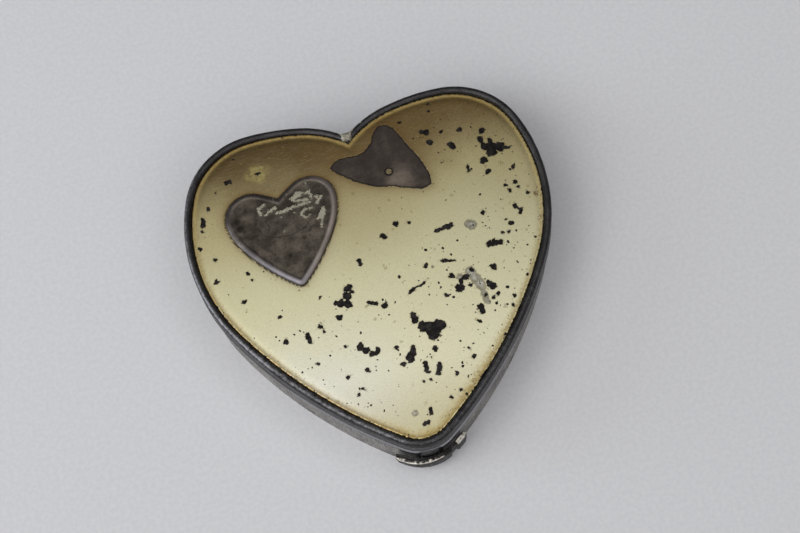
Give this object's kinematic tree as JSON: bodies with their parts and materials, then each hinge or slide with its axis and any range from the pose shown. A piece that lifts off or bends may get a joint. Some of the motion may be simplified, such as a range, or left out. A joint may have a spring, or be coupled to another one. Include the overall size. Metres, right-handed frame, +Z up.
{
  "type": "heart-shaped trinket box",
  "caption": "Flat heart-shaped metal trinket box with a hinged domed lid, beaded rim, raised heart ornament and thumb catch.",
  "frame": {"origin": "middle of the box's footprint, on the surface it stands on", "axes": "+Z up, +Y towards the hinges and the cleft of the heart, the point of the heart at -Y"},
  "size_m": [0.0758, 0.079, 0.0168],
  "materials": {
    "tarnished_plate": "worn and tarnished silver plate",
    "gilt_panel": "satin gilt lacquer with dark losses",
    "dark_badge": "dark tarnished, brighter along its edge",
    "solder": "dull soft solder",
    "steel": "drawn wire and spring strip",
    "brass": "aged brass",
    "tinned_backing": "dull tinned sheet",
    "velvet": "short pile velvet"
  },
  "bodies": {
    "base": {"base_floor": "tarnished_plate", "base_wall": "tarnished_plate", "floor_lining": "velvet", "wall_lining": "velvet", "base_hinge_left": "tarnished_plate", "base_hinge_right": "tarnished_plate", "hinge_pin_left": "steel", "hinge_pin_right": "steel", "catch_spring": "steel"},
    "lid": {"lid_rim": "tarnished_plate", "lid_panel": "gilt_panel", "cleft_solder": "solder", "heart_badge": "dark_badge", "badge_rivets": "brass", "lost_badge_rivet": "brass", "lid_backing": "tinned_backing", "lid_lining": "velvet", "lid_keeper": "tarnished_plate", "lid_hinge_left": "tarnished_plate", "lid_hinge_right": "tarnished_plate"},
    "catch": {"thumb_lip": "tarnished_plate", "catch_studs": "steel"}
  },
  "joints": [
    {"name": "lid_hinge", "type": "hinge", "parent": "base", "child": "lid", "pos_m": [0, 0.03837, 0.0085], "axis": [-1, 0, 0], "range_deg": [0, 100]},
    {"name": "catch_slide", "type": "slide", "parent": "base", "child": "catch", "axis": [0, -1, 0], "range_m": [0, 0.0005], "stiffness_N_per_m": 1500}
  ]
}
